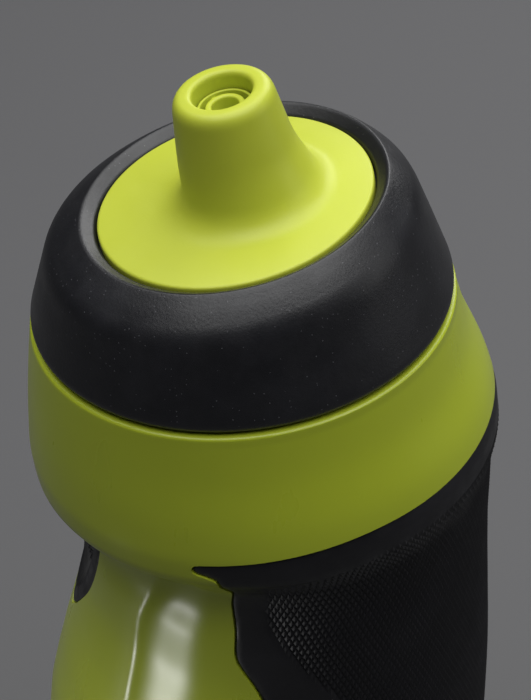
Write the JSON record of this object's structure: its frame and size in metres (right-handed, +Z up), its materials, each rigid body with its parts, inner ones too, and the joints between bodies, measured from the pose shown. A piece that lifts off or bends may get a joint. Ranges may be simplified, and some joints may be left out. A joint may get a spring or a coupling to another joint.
{
  "type": "sports squeeze bottle",
  "caption": "Waisted soft squeeze bottle with inlaid rubber grips, a leaning screw cap and a tapered drinking spout with a slit valve.",
  "frame": {"origin": "centre of the base's foot, on the surface the bottle stands on", "axes": "+Z up, -Y is the bottle's front, towards which the head leans"},
  "size_m": [0.0794, 0.0794, 0.2363],
  "materials": {
    "bottle_plastic": "semi-gloss lime polyethylene",
    "spout_plastic": "satin lime",
    "cap_plastic": "satin black with fine pale flecks",
    "grip_rubber": "matte black rubber with a fine raised diamond field",
    "seal_silicone": "translucent pale silicone"
  },
  "bodies": {
    "bottle": {"bottle_body": "bottle_plastic", "palm_grip": "grip_rubber", "thumb_grip": "grip_rubber"},
    "seal": {"cap_gasket": "seal_silicone"},
    "cap": {"cap_ring": "cap_plastic", "spout_dome": "spout_plastic", "dome_retainer": "cap_plastic", "valve_insert": "spout_plastic", "valve_membrane": "seal_silicone", "valve_retainer": "spout_plastic"}
  },
  "joints": [
    {"name": "cap_rise", "type": "slide", "parent": "bottle", "child": "seal", "axis": [0, -0.1011, 0.9949], "range_m": [0, 0.0036]},
    {"name": "cap_unscrew", "type": "hinge", "parent": "seal", "child": "cap", "pos_m": [0, -0.0037, 0.1962], "axis": [0, -0.1011, 0.9949], "range_deg": [0, 324]}
  ],
  "couplings": [
    {"joint": "cap_rise", "follows": "cap_unscrew", "m_per_rad": 0.00063662}
  ]
}
